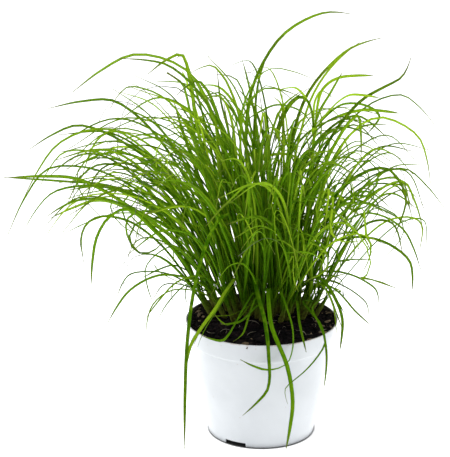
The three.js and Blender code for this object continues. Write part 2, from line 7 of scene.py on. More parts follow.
import bpy
import numpy as np
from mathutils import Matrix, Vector


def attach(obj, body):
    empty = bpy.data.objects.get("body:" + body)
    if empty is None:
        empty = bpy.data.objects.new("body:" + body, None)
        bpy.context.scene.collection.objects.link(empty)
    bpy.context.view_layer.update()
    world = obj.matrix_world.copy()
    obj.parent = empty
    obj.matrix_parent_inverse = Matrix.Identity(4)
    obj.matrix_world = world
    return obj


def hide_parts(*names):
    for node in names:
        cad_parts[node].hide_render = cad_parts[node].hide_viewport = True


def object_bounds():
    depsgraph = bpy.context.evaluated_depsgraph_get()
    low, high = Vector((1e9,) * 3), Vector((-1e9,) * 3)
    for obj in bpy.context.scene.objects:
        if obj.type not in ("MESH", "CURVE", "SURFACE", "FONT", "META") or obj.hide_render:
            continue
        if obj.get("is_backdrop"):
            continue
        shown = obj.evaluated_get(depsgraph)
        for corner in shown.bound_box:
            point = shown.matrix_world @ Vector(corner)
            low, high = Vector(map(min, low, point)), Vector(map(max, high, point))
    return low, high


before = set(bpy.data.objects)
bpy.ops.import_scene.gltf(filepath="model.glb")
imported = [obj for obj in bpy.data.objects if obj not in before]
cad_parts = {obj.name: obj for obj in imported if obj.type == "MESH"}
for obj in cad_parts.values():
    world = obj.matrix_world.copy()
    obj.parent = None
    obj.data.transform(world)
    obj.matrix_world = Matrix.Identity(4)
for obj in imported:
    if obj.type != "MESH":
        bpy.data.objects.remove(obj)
cad_low, cad_high = (np.array(corner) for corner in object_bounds())

MM = 0.001
UPRIGHT = np.array((0.0, 0.0, 1.0))
BACKWARD = np.array((0.0, 1.0, 0.0))

# Camera
CAMERA_PLACE = (0, -1.392534, 0.617538)
CAMERA_AIM = (-0.0289, 0, 0.1671)
PHOTO_LONG_SIDE = 457
FOCAL_PIXELS = 1883.4
SENSOR = 36

# Room. The floor turns from a painted dark shade to white, and from unlit to its full glow, between two
# radii each, about a place a little in front of the pot's axis. The painted shade lies under the pot and
# makes a thin contact shadow round its foot.
SURROUND_STRENGTH = 0.6
FLOOR_HALF = 12.0
FLOOR_GLOW = 0.85
PAINTED_SHADOW_RADII = (0.0412, 0.0432)
GLOWING_FLOOR = (0.042, 0.0455)
SHADOW_SHIFT = (0.0, 0.0012, 0.0)

# Lamps: name, place, aim, width and depth, power
SOFTBOXES = (
    ("left_softbox", (-1.1, 0.15, 0.5), (0, 0, 0.12), (0.8, 1.0), 8),
    ("right_softbox", (1.1, 0.15, 0.5), (0, 0, 0.12), (0.8, 1.0), 8),
    ("top_softbox", (-0.35, -0.5, 1.4), (0, 0, 0.2), (0.35, 0.35), 7),
)

# Pot, as in the solids
POT_HEIGHT = 93 * MM
POT_TOP_RADIUS = 60 * MM
POT_BASE_RADIUS = 42 * MM
WALL = 1.2 * MM
COLLAR_HEIGHT = 15 * MM
COLLAR_STEP = 1.3 * MM
FOOT_HEIGHT = 4 * MM
COLLAR_FOOT = POT_HEIGHT - COLLAR_HEIGHT
FLOOR_TOP = FOOT_HEIGHT + WALL
TAPER = (POT_TOP_RADIUS - COLLAR_STEP - POT_BASE_RADIUS) / POT_HEIGHT
PAD_RADIUS = 20 * MM
PAD_SLOPE = 3 * MM
NOTCH_COUNT = 3
NOTCH_WIDTH = 18 * MM
NOTCH_HEIGHT = 3.5 * MM
NOTCH_DEPTH = 8 * MM
FIRST_NOTCH_ANGLE = -118.5
POT_SIDES = 192
POT_EDGE_ANGLE = 38
ROUNDING_STEPS = 5

# Soil
SOIL_BELOW_LIP = 4 * MM
MOUND = 1.5 * MM
BUMP = 0.5 * MM
BUMP_PITCH = 36 * MM
SOIL_EDGE_RADIUS = 57.2 * MM
SOIL_GAP = 0.3 * MM
SOIL_SIDES = 320
SOIL_RINGS = 90
LUMPS = 1500
LUMP_RADII = (1.0, 3.4)
LUMP_HEIGHTS = (0.25, 0.6)
CRUMBS = 1100
CRUMB_SIZES = (0.35 * MM, 2.6 * MM)
CRUMB_TILTS = (-0.6, 0.6)
PALE_CRUMBS = 0.03
PALE_EDGE_CRUMBS = 0.4
PALE_EDGE = 46 * MM
CRUMBS_RADIUS = 57 * MM
BARK_PLACE = (-11 * MM, -52 * MM)
BARK_CHIPS = 7
BARK_SPREAD = 2.2 * MM
BARK_SIZES = (1.6, 2.6)
BARK_TONE = 0.35
FIBRES = 150
PALE_FIBRES = 0.35
FIBRE_RINGS = 9
FIBRE_SIDES = 3
FIBRE_LENGTHS = (3, 15)
FIBRE_RADII = (0.12, 0.32)
FIBRES_RADIUS = 50 * MM
FARTHEST_FIBRE = 55 * MM
RIM_RISE = 2.4 * MM
RIM_START = 48 * MM

# Reading the solids
WELD = 2e-5
FEWEST_RINGS = 4
EDGE_LIFT = 0.12
KEEL_DEPTH = 0.22

# Leaves
STATIONS = 28
FINE_STATIONS = 20
FOOT_STATIONS = 4
FOOT_SPREAD = 1.2
STATION_POWER = 1.5
LOW_LEAF = 150 * MM
TALL_LEAF = 260 * MM
INNER_REACH = (90 * MM, 180 * MM)
SIDE_PLACES = (40 * MM, 110 * MM)
RIGHT_PLACES = (-20 * MM, 60 * MM)
HANGING = 70 * MM
HANGING_WIDTH = 0.9
HANGING_TINT = 0.5
SOLID_LEAF_WIDTH = 0.88
LEFT_NARROWING = 0.05
RIGHT_NARROWING = 0.5
FINER_LEAF_RINGS = 5
LEAST_LEAF_WIDTH = 1.2 * MM
HOOKS = (-0.2, 1.3)
HOOKED_TOP = (200 * MM, 260 * MM)
LESS_HOOK = 0.7
LEAF_THICKNESS = 0.22 * MM
THINNEST_TIP = 0.5 * MM
TIP_POWER = 15.0
TWISTS = (0.0, 0.45)
TINTS = (1.0, 1.1)
FRONT = (0.0, -0.95, 0.31)
FACING_SHARES = (0.65, 1.0)
FINE_FACING_SHARES = (0.3, 1.0)
GROOVE_DEPTH = 0.2
CUT_SHARE = 0.012
CUT_POWER = 200.0
SHEATH_RINGS = 9
SHEATH_SIDES = 10

# Companions: how many beside each solid blade, the roof they stay under, and how they bend, in radians
COMPANION_SPREADS = (0.15, 0.4)
LEFT_COMPANIONS = 0.45
RIGHT_COMPANIONS = 0.05
INNER_COMPANIONS = 1.3
LOW_COMPANIONS = 0.8
COMPANION_WIDTHS = (0.65, 1.0)
COMPANION_LENGTHS = (0.6, 1.05)
BROADEST_COMPANION = 2.8 * MM
LOW_LEAF_WIDTH = 0.65
LOWEST_COMPANION = 84 * MM
HIGHEST_COMPANION = 300 * MM
BACK_SLOPE = 0.2
SIDE_SLOPE = 0.3
RIDGE_PLACE = -45 * MM
ROOM = 1.5 * MM
LEAST_TURN = 0.04
LEANS = (-0.2, 0.02)
MIDDLE_BEND = 0.25
MIDDLE_LIFT = 0.35
SWIRL = 0.6
DROOPS = (-0.4, 0.3)
END_DROOPS = (-0.4, 1.3)
CURLED_SHARE = 0.16
LOW_CURLED_SHARE = 0.55
CURLED_SWIRL = 2.2
CURLED_DROOPS = (-1, 3)
HAIR_SHARE = 0.25
OUTER_HAIR_SHARE = 0.7
HAIR_REACH = 110 * MM
HAIR_SWIRL = 1.4
HAIR_DROOPS = (-1.6, 3.2)
KINKED_SHARE = 0.08
KINKS = (0.5, 1.5)
KINK_PLACES = (0.35, 0.8)
DRAWN_IN_REACH = 0.8
DRAWN_IN_SHARES = (1, 0.7, 0.4, 0.2)

# Umbrella
STEM_RADIUS = 1.35 * MM
STEM_OVERLAP = 1.0 * MM
STEM_STATIONS = 40
STEM_SIDES = 12
BUD_RADIUS = 2.3 * MM
BUD_HEIGHT = 13 * MM
BUD_DEPTH = 11 * MM
BUD_RINGS = 12
BUD_SIDES = 14

# Colours of the leaves
CROWN = (0.0, 0.02, 0.0)
DULL_GREEN = (0.026, 0.11, 0.0006)
FRESH_GREEN = (0.15, 0.36, 0.003)
BRIGHT_GREEN = (0.52, 0.8, 0.03)
GREEN_THROUGH = (0.26, 0.62, 0.002)
YELLOWER_END = (0.26, 0.38, 0.02)
UNDERSIDE = (0.07, 0.2, 0.002)
LEAF_EDGE = (0.03, 0.09, 0.001)
# painted shade that darkens the leaves low down, near the soil
PAINTED_SHADE_NEAR_SOIL = (0.02, 0.08, 0.001)
DEEP_SHADE = (0.013, 0.065, 0.0008)
OLIVE_TIP = (0.16, 0.15, 0.04)
WITHERED_HAIR = (0.12, 0.13, 0.1)
STRAW_SHEATH = (0.16, 0.17, 0.03)
BROWN_SHEATH = (0.08, 0.035, 0.015)

# Colours of the floor
FLOOR_WHITES = ((0.79, 0.79, 0.8), (0.81, 0.81, 0.81))
# painted shade: the floor's colour under the pot and in a thin ring round its foot
PAINTED_SHADE_UNDER_POT = (0.02, 0.02, 0.02)

# Colours of the pot
POT_WHITES = ((0.475, 0.5, 0.525), (0.525, 0.55, 0.575))
SCUFF = (0.48, 0.49, 0.52)
SPECK = (0.4, 0.36, 0.32)
STAINED_INSIDE = (0.035, 0.022, 0.016)
SOILED_LIP = (0.36, 0.25, 0.2)

# Colours of the soil, from its darkest to its pale flecks, and of the chips that lie on it
PEAT = ((0.0012, 0.001, 0.0016), (0.009, 0.006, 0.007), (0.045, 0.027, 0.024))
CRUMB = ((0.0012, 0.001, 0.0016), (0.012, 0.008, 0.009), (0.07, 0.042, 0.035))
DRY_ROOT = ((0.015, 0.009, 0.008), (0.05, 0.03, 0.022), (0.12, 0.09, 0.06))
PALE_CHIP = (0.3, 0.22, 0.14)
PALE_ROOT = (0.42, 0.38, 0.3)

chance = np.random.default_rng(20)


def unit(vectors):
    """Each vector divided by its own length."""
    return vectors / np.maximum(np.linalg.norm(vectors, axis=-1, keepdims=True), 1e-12)


def smoothstep(low, high, value):
    """0 below low, 1 above high, and 3s^2 - 2s^3 of the share s between them."""
    s = np.clip((value - low) / (high - low), 0, 1)
    return s * s * (3 - 2 * s)


# Finishes


class Wire:
    """A socket that takes part in sums: an expression on it adds its Math nodes."""

    def __init__(self, finish, socket):
        self.finish = finish
        self.socket = socket

    def maths(self, operation, *others):
        return self.finish.node("Math", {"operation": operation}, dict(enumerate((self, *others))))

    def output(self, name):
        return Wire(self.finish, self.socket.node.outputs[name])

    def __add__(self, other):
        return self.maths("ADD", other)

    __radd__ = __add__

    def __mul__(self, other):
        return self.maths("MULTIPLY", other)

    __rmul__ = __mul__

    def __rsub__(self, other):
        return self * -1.0 + other

    def within(self, low, high, to_low=0.0, to_high=1.0):
        """The value carried smoothly from low..high to to_low..to_high, and held at the ends."""
        return self.finish.node(
            "MapRange",
            {"interpolation_type": "SMOOTHSTEP"},
            {"Value": self, "From Min": low, "From Max": high, "To Min": to_low, "To Max": to_high},
        )


class Finish:
    """A material and its nodes."""

    def __init__(self, name):
        self.material = bpy.data.materials.new(name)
        self.material.use_nodes = True
        self.tree = self.material.node_tree
        self.tree.nodes.clear()
        self.place = self.node("TexCoord").output("Object")

    def node(self, kind, settings=None, inputs=None):
        """A node of that kind: its settings first, then the values or wires of its sockets."""
        made = self.tree.nodes.new("ShaderNode" + kind)
        for name, value in (settings or {}).items():
            setattr(made, name, value)
        for name, value in (inputs or {}).items():
            self.feed(made.inputs[name], value)
        return Wire(self, made.outputs[0])

    def feed(self, socket, value):
        """A wire is linked to the socket, and anything else becomes the socket's own value."""
        if isinstance(value, Wire):
            self.tree.links.new(value.socket, socket)
        else:
            socket.default_value = value

    def noise(self, scale, detail=2.0, place=None, roughness=0.5):
        """A noise value that wanders about 0.5."""
        sockets = {"Vector": place or self.place, "Scale": scale, "Detail": detail, "Roughness": roughness}
        return self.node("TexNoise", {}, sockets)

    def stretched(self, x, y, z):
        """The object's coordinates, each axis multiplied by its own number."""
        return self.node("Mapping", {}, {"Vector": self.place, "Scale": (x, y, z)})

    def parts(self, vector):
        """A vector's X, Y and Z."""
        split = self.node("SeparateXYZ", {}, {"Vector": vector})
        return split.output("X"), split.output("Y"), split.output("Z")

    def attribute(self, name):
        """The X, Y and Z of one of the piece's own attributes."""
        return self.parts(self.node("Attribute", {"attribute_name": name}).output("Vector"))

    def vector_maths(self, operation, *vectors):
        return self.node("VectorMath", {"operation": operation}, dict(enumerate(vectors)))

    def blend(self, share, first, second):
        """The first colour at share 0 and the second at share 1."""
        node = self.node("Mix", {"data_type": "RGBA"}).socket.node
        for number, value in ((0, share), (6, first), (7, second)):
            self.feed(node.inputs[number], (*value, 1) if isinstance(value, tuple) else value)
        return Wire(self, node.outputs[2])

    def bump(self, height, distance, strength):
        return self.node("Bump", {}, {"Height": height, "Distance": distance, "Strength": strength})

    def surface(self, **values):
        """A Principled surface. An underscore in a name stands for a space."""
        sockets = {name.replace("_", " "): value for name, value in values.items()}
        return self.node("BsdfPrincipled", {}, sockets)

    def show(self, shader):
        output = self.tree.nodes.new("ShaderNodeOutputMaterial")
        self.tree.links.new(shader.socket, output.inputs["Surface"])
        return self.material


def leaf_finish():
    """Leaf: pale sheathed foot, greens that vary from leaf to leaf and along each, a painted shade low
    down near the soil and a painted deep shade among the stems of the crown, olive or withered grey ends,
    fine lengthwise veins."""
    f = Finish("sedge_leaf")
    along, across, upper = f.attribute("leaf")
    tint, hair, _ = f.attribute("kind")
    _, _, height = f.parts(f.place)
    mottle = f.noise(260.0, 3.0)
    veins = (across * 21.0).maths("SINE")
    green = f.blend(tint.within(0.0, 0.55), DULL_GREEN, FRESH_GREEN)
    green = f.blend(tint.within(0.45, 1.0), green, BRIGHT_GREEN)
    green = f.blend(mottle.within(0.35, 0.75, 0.0, 0.35), green, BRIGHT_GREEN)
    green = f.blend(along.within(0.5, 1.0, 0.0, 0.45), green, YELLOWER_END)
    green = f.blend(upper.within(0.42, 0.5, 0.4, 0.0), green, UNDERSIDE)
    green = f.blend((across * across).within(0.25, 1.0, 0.0, 0.6), green, LEAF_EDGE)
    # Painted shade: the leaves darken below 0.2 m, towards the soil.
    green = f.blend(height.within(0.1, 0.2, 0.4, 0.0), green, PAINTED_SHADE_NEAR_SOIL)
    from_crown = f.vector_maths("MULTIPLY", f.vector_maths("SUBTRACT", f.place, CROWN), (1.0, 1.0, 0.0))
    away = f.vector_maths("LENGTH", from_crown).output("Value")
    deep = away.within(0.025, 0.08, 1.0, 0.0) * height.within(0.17, 0.27, 0.55, 0.0)
    green = f.blend(deep, green, DEEP_SHADE)
    green = f.blend(along.within(0.9, 1.0, 0.0, 0.7), green, OLIVE_TIP)
    green = f.blend(hair * along.within(0.55, 0.8, 0.0, 0.85), green, WITHERED_HAIR)
    foot = height.within(0.091, 0.112, 1.0, 0.0) * along.within(0.2, 0.35, 1.0, 0.0)
    straw = f.blend(f.noise(420.0).within(0.4, 0.65), STRAW_SHEATH, BROWN_SHEATH)
    skin = f.surface(
        Base_Color=f.blend(foot * 0.75, green, straw),
        Roughness=mottle.within(0.3, 0.7, 0.42, 0.6),
        Normal=f.bump(veins + mottle * 1.5, 0.00008, 0.6),
        Specular_IOR_Level=0.03,
        Specular_Tint=(0.7, 1.0, 0.15, 1.0),
    )
    through = f.node("BsdfTranslucent", {}, {"Color": (*GREEN_THROUGH, 1)})
    return f.show(f.node("MixShader", {}, {0: foot.within(0.0, 1.0, 0.14, 0.03), 1: skin, 2: through}))


def pot_finish():
    """Moulded white plastic: cool and slightly uneven, with a soft sheen, fine scuffs, a few specks, a
    stained inside and a soiled lip."""
    f = Finish("white_pot_plastic")
    _, _, height = f.parts(f.place)
    cloud = f.noise(28.0, 3.0)
    fine = f.noise(900.0, 2.0)
    scuffs = f.noise(60.0, 4.0, f.stretched(1.0, 1.0, 9.0), 0.7)
    white = f.blend(cloud.within(0.3, 0.7), *POT_WHITES)
    white = f.blend(scuffs.within(0.62, 0.8, 0.0, 0.3), white, SCUFF)
    white = f.blend(f.noise(330.0, 1.0).within(0.76, 0.8, 0.0, 0.5), white, SPECK)
    from_axis = f.vector_maths("MULTIPLY", f.place, (1.0, 1.0, 0.0))
    outward = f.vector_maths("DOT_PRODUCT", f.node("TexCoord").output("Normal"), from_axis).output("Value")
    inside = 1 - outward.within(-0.03, -0.01)
    white = f.blend(inside * f.noise(140.0, 3.0).within(0.25, 0.6, 0.75, 1.0), white, STAINED_INSIDE)
    soiled = height.within(0.0915, 0.093) * f.noise(190.0, 3.0).within(0.45, 0.62) * 0.55
    white = f.blend(soiled, white, SOILED_LIP)
    return f.show(
        f.surface(
            Base_Color=white,
            Roughness=scuffs * 0.25 + 0.22,
            Normal=f.bump(fine * 0.4 + cloud, 0.0002, 0.5),
            Specular_IOR_Level=0.5,
            Coat_Weight=0.25,
            Coat_Roughness=0.18,
        )
    )


def soil_finish(name, colours, grain, chip):
    """Damp peat: nearly black, with brown and purplish patches, pale flecks of bark and light chips."""
    dark, brown, pale = colours
    f = Finish(name)
    patches = f.noise(grain, 4.0)
    flecks = f.noise(grain * 5.2, 3.0, roughness=0.7)
    earth = f.blend(patches.within(0.38, 0.66), dark, brown)
    earth = f.blend(flecks.within(0.62, 0.74, 0.0, 0.7), earth, pale)
    light, _, _ = f.attribute("tone")
    earth = f.blend(light * flecks.within(0.2, 0.6, 0.6, 1.0), earth, chip)
    return f.show(
        f.surface(
            Base_Color=earth,
            Roughness=flecks.within(0.3, 0.7, 0.98, 0.72),
            Normal=f.bump(flecks + patches, 0.0012, 0.9),
            Specular_IOR_Level=0.06,
        )
    )


# Meshes


def add_piece(name, corners, faces, material, replaced, smooth=True):
    """A mesh from an array of corners and arrays of faces, which rides on the root body."""
    mesh = bpy.data.meshes.new(name)
    loops = np.concatenate([part.ravel() for part in faces])
    sizes = np.concatenate([np.full(len(part), part.shape[1]) for part in faces])
    mesh.vertices.add(len(corners))
    mesh.vertices.foreach_set("co", corners.astype(np.float32).ravel())
    mesh.loops.add(len(loops))
    mesh.loops.foreach_set("vertex_index", loops.astype(np.int32))
    mesh.polygons.add(len(sizes))
    mesh.polygons.foreach_set("loop_start", np.concatenate([[0], np.cumsum(sizes)[:-1]]).astype(np.int32))
    mesh.polygons.foreach_set("use_smooth", np.full(len(sizes), smooth))
    mesh.update(calc_edges=True)
    mesh.validate()
    mesh.materials.append(material)
    piece = bpy.data.objects.new(name, mesh)
    bpy.context.scene.collection.objects.link(piece)
    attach(piece, "root")
    if replaced:
        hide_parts(replaced)
    return piece


def add_attribute(piece, name, values):
    """A vector for each corner of a piece."""
    layer = piece.data.attributes.new(name, "FLOAT_VECTOR", "POINT")
    layer.data.foreach_set("vector", values.astype(np.float32).ravel())


def crease_lengthwise(piece, numbers):
    """Edges between corners of the same number in their profiles are creases, and the others are smooth."""
    mesh = piece.data
    ends = np.empty(2 * len(mesh.edges), np.int32)
    mesh.edges.foreach_get("vertices", ends)
    sharp = numbers[ends[::2]] == numbers[ends[1::2]]
    layer = mesh.attributes.new("sharp_edge", "BOOLEAN", "EDGE")
    layer.data.foreach_set("value", sharp)


def tube_faces(tubes, rings, sides):
    """Quads between the rings of closed tubes, and a cap for each end, all facing outwards.

    Corner c of ring r of tube t has the number (t * rings + r) * sides + c."""
    t, r, c = np.ogrid[:tubes, : rings - 1, :sides]
    here = (t * rings + r) * sides
    after = (c + 1) % sides
    walls = np.stack(np.broadcast_arrays(here + c, here + after, here + sides + after, here + sides + c), -1)
    ends = np.arange(tubes)[:, None] * rings * sides
    first = ends + np.arange(sides)[::-1]
    last = ends + (rings - 1) * sides + np.arange(sides)
    return [walls.reshape(-1, 4), first, last]


def round_rings(radius, height, sides):
    """Level circles about the upright: r cos a, r sin a and z at so many angles a."""
    turn = 2 * np.pi * np.arange(sides) / sides
    x, y = radius[:, None] * np.cos(turn), radius[:, None] * np.sin(turn)
    return np.stack(np.broadcast_arrays(x, y, height[:, None]), -1)


def rings_about(path, side, face, radius, sides):
    """Rings square to a path: p + r (side cos a + face sin a) at so many angles a."""
    turn = 2 * np.pi * np.arange(sides) / sides
    ring = side[..., None, :] * np.cos(turn)[:, None] + face[..., None, :] * np.sin(turn)[:, None]
    return path[..., None, :] + ring * radius[..., None]


# Paths of the solid blades


def solid_corners(node):
    """The corners of a CAD node with equal ones made one, and which of them join along an edge."""
    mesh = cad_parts[node].data
    loose = np.empty(3 * len(mesh.vertices))
    mesh.vertices.foreach_get("co", loose)
    loose = loose.reshape(-1, 3)
    loops = np.empty(len(mesh.loops), np.int32)
    mesh.loops.foreach_get("vertex_index", loops)
    same = (np.linalg.norm(loose[:, None] - loose[None], axis=2) < WELD).argmax(1)
    kept, faces = np.unique(same[loops], return_inverse=True)
    faces = faces.reshape(-1, 3)
    joined = np.zeros((len(kept), len(kept)), bool)
    for a, b in ((0, 1), (1, 2), (2, 0)):
        joined[faces[:, a], faces[:, b]] = True
        joined[faces[:, b], faces[:, a]] = True
    return loose[kept], joined


def solid_blades(node):
    """The corners of a CAD node that belong to no blade, and its blades from foot to tip: each a path of
    places, sideways directions and a width.

    A blade's tip joins three corners. Ring after ring of three corners is met from there, down to the
    three that the blade is rooted in."""
    corners, joined = solid_corners(node)
    blades = []
    rest = np.ones(len(corners), bool)
    for tip in np.flatnonzero(joined.sum(1) == 3):
        seen = np.zeros(len(corners), bool)
        seen[tip] = True
        ring = joined[tip].copy()
        rings = []
        while ring.sum() == 3:
            rings.append(corners[ring])
            seen |= ring
            ring = joined[ring].any(0) & ~seen
        if len(rings) > FEWEST_RINGS:
            blades.append(read_blade(corners[tip], np.array(rings[::-1])))
            rest &= ~seen
    blades.sort(key=lambda blade: tuple(np.round(blade["path"][-1], 4)))
    return corners[rest], blades


def read_blade(tip, rings):
    """Path, sideways directions and width of a blade: in each ring the two corners furthest apart are
    its edges, and the path runs a little below the middle between them, towards the third, its keel."""
    opposite = np.linalg.norm(np.roll(rings, -1, axis=1) - np.roll(rings, -2, axis=1), axis=2)
    keel_index = opposite.argmax(1)
    pick = np.arange(len(rings))
    keel = rings[pick, keel_index]
    edge, other = rings[pick, (keel_index + 1) % 3], rings[pick, (keel_index + 2) % 3]
    middle = (edge + other) / 2
    path = middle + (keel - middle) * (EDGE_LIFT / (EDGE_LIFT + KEEL_DEPTH))
    path[0] = rings[0].mean(0)
    along = np.gradient(np.vstack([path, tip]), axis=0)[:-1]
    face = middle - keel
    side = unit(np.cross(face, along))
    side[0] = side[1]
    return {
        "path": np.vstack([path, tip]),
        "side": np.vstack([side, side[-1:]]),
        "width": opposite.max(1)[1:].max(),
        "finer": len(rings) <= FINER_LEAF_RINGS,
        "root": rings[0],
    }


def station_shares(count):
    """Shares of a leaf's length at its stations, closer to each other towards the tip: 1 - (1 - t)^1.5."""
    return 1 - (1 - np.linspace(0, 1, count)) ** STATION_POWER


def smoothed(points, count, values):
    """So many places, closer towards the end, on a smooth path through the points, and the points'
    values carried along it.

    Each stretch is the cubic whose directions at its ends are the mean slopes there. The values run in
    straight lines between the points."""
    chord = np.concatenate([[0], np.cumsum(np.linalg.norm(np.diff(points, axis=0), axis=1))])
    slope = np.gradient(points, chord, axis=0)
    at = station_shares(count) * chord[-1]
    k = np.clip(np.searchsorted(chord, at, side="right") - 1, 0, len(chord) - 2)
    length = (chord[k + 1] - chord[k])[:, None]
    s = (at - chord[k])[:, None] / length
    path = (
        (2 * s**3 - 3 * s**2 + 1) * points[k]
        + (s**3 - 2 * s**2 + s) * length * slope[k]
        + (3 * s**2 - 2 * s**3) * points[k + 1]
        + (s**3 - s**2) * length * slope[k + 1]
    )
    return path, values[k] * (1 - s) + values[k + 1] * s


def reach_of(paths):
    """How far from the pot's axis each path gets."""
    return np.hypot(paths[..., 0], paths[..., 1]).max(1)


def rightward(paths):
    """0 for paths that end on the left, and 1 for those that end on the right."""
    return smoothstep(*RIGHT_PLACES, paths[:, -1, 0])


def sideways(paths):
    """1 for paths that end well to the left or right of the middle, and 0 for those that end near it."""
    return smoothstep(*SIDE_PLACES, np.abs(paths[:, -1, 0] - RIDGE_PLACE))


def hanging(paths):
    """Which paths hang down over the pot's side."""
    return paths[..., 2].min(1) < HANGING


def even_paths(blades, foot, axis):
    """The blades' paths as one array, led down inside the sheath to the soil, with their sides and
    widths. Those with few rings are finer leaves: narrower the further out they reach, most of all on
    the right, and hooked at their ends. Leaves that hang over the pot are narrower too."""
    paths, sides = [], []
    for blade in blades:
        root = blade["path"][0]
        centre = foot + axis * np.dot(root - foot, axis)
        points = np.vstack([foot + FOOT_SPREAD * (root - centre), blade["path"]])
        path, side = smoothed(points, STATIONS, np.vstack([blade["side"][:1], blade["side"]]))
        paths.append(path)
        sides.append(side)
    paths = np.array(paths)
    widths = np.array([blade["width"] for blade in blades])
    finer = np.array([blade["finer"] for blade in blades])
    outer = smoothstep(*INNER_REACH, reach_of(paths)) * finer
    narrowing = LEFT_NARROWING + (RIGHT_NARROWING - LEFT_NARROWING) * rightward(paths)
    widths = widths * (1 - outer * narrowing)
    widths = np.where(hanging(paths), widths * HANGING_WIDTH, widths)
    amounts = 1 - LESS_HOOK * smoothstep(*HOOKED_TOP, paths[..., 2].max(1))
    return hooked(paths, outer * sideways(paths) * amounts), np.array(sides), widths


def hooked(paths, amounts):
    """The paths with their ends tipped over by chance: each step by h smoothstep(0.7, 1, u), times that
    path's own amount."""
    angle = chance.uniform(*HOOKS, len(paths)) * amounts
    tip = smoothstep(0.7, 1, station_shares(paths.shape[1]))[1:]
    steps = np.diff(paths, axis=1)
    level = unit(np.cross(UPRIGHT, steps) + 1e-9)
    steps = turned(steps, level, angle[:, None] * tip)
    return np.concatenate([paths[:, :1], paths[:, :1] + np.cumsum(steps, axis=1)], 1)


def turned(vectors, axis, angle):
    """Vectors turned about unit axes: v cos a + (k x v) sin a + k (k.v)(1 - cos a)."""
    c, s = np.cos(angle)[..., None], np.sin(angle)[..., None]
    along = (vectors * axis).sum(-1, keepdims=True)
    return vectors * c + np.cross(axis, vectors) * s + axis * along * (1 - c)


def outside(paths):
    """Which paths leave the solids' box, hang low, pass through the pot or rise above a roof that falls
    towards the back and to both sides of a ridge."""
    beyond = ((paths < cad_low + ROOM) | (paths > cad_high - ROOM)).any((1, 2))
    beyond |= paths[..., 2].min(1) < LOWEST_COMPANION
    to_side = np.abs(paths[..., 0] - RIDGE_PLACE)
    beyond |= (paths[..., 2] + BACK_SLOPE * paths[..., 1] + SIDE_SLOPE * to_side).max(1) > HIGHEST_COMPANION
    radius = np.hypot(paths[..., 0], paths[..., 1])
    past_foot = np.arange(paths.shape[1]) >= FOOT_STATIONS
    hits = (radius < POT_TOP_RADIUS + ROOM) & (paths[..., 2] < POT_HEIGHT + ROOM) & past_foot
    return beyond | hits.any(1)


def resampled(values, count, reach=1.0):
    """Rows of values at a leaf's stations carried over to another count of stations, which end at that
    share of the leaf."""
    old, new = station_shares(values.shape[1]), station_shares(count) * reach
    k = np.clip(np.searchsorted(old, new, side="right") - 1, 0, len(old) - 2)
    part = ((new - old[k]) / (old[k + 1] - old[k]))[:, None]
    return values[:, k] * (1 - part) + values[:, k + 1] * part


def companion_angles(paths, low, spread):
    """The angles by which each step of companions is turned about the upright, tipped over and leant
    to a side, and which of the leaves end in a hair.

    With u as the share of the length and b as a leaf's bend, which is least in the middle, the turn is
    t smoothstep(0, 0.2, u) + b s u^2, the droop d u^1.4 + b e u^3.5, less a lift in the middle, and the
    lean l smoothstep(0, 0.3, u). A curled leaf adds b c u^4 to turn and droop, one that ends in a hair
    adds b h smoothstep(0.5, 1, u) to both, and a kinked one tips over at one place."""
    column = (len(paths), 1)
    u = station_shares(FINE_STATIONS)
    curled = chance.uniform(0, 1, column) < np.where(low, LOW_CURLED_SHARE, CURLED_SHARE)
    kinked = chance.uniform(0, 1, column) < KINKED_SHARE
    outer = np.hypot(paths[:, -1:, 0], paths[:, -1:, 1]) > HAIR_REACH
    hair = chance.uniform(0, 1, column) < np.where(outer, OUTER_HAIR_SHARE, HAIR_SHARE)
    kink_place = chance.uniform(*KINK_PLACES, column)
    bend = MIDDLE_BEND + (1 - MIDDLE_BEND) * sideways(paths)[:, None]
    late = smoothstep(0.5, 1, u)
    hand = chance.choice([-1, 1], column)
    turn = hand * chance.uniform(LEAST_TURN, spread, column) * smoothstep(0, 0.2, u)
    turn = turn + bend * chance.normal(0, SWIRL, column) * u**2
    turn = turn + bend * curled * chance.normal(0, CURLED_SWIRL, column) * u**4
    turn = turn + bend * hair * chance.normal(0, HAIR_SWIRL, column) * late
    droop = (chance.uniform(*DROOPS, column) - MIDDLE_LIFT * (1 - bend)) * u**1.4
    droop = droop + bend * chance.uniform(*END_DROOPS, column) * u**3.5
    droop = droop + bend * curled * chance.uniform(*CURLED_DROOPS, column) * u**4
    droop = droop + bend * hair * chance.uniform(*HAIR_DROOPS, column) * late
    droop = droop + bend * kinked * chance.uniform(*KINKS, column) * smoothstep(0, 0.05, u - kink_place)
    lean = chance.uniform(*LEANS, column) * smoothstep(0, 0.3, u)
    return turn, droop, lean, hair[:, 0]


def drawn_in(mild, moved):
    """Each path as far moved from its mild form as it can be without getting outside."""
    chosen = mild.copy()
    settled = np.zeros(len(mild), bool)
    for share in DRAWN_IN_SHARES:
        trial = mild + share * (moved - mild)
        good = ~outside(trial) & ~settled
        chosen[good] = trial[good]
        settled |= good
    return chosen


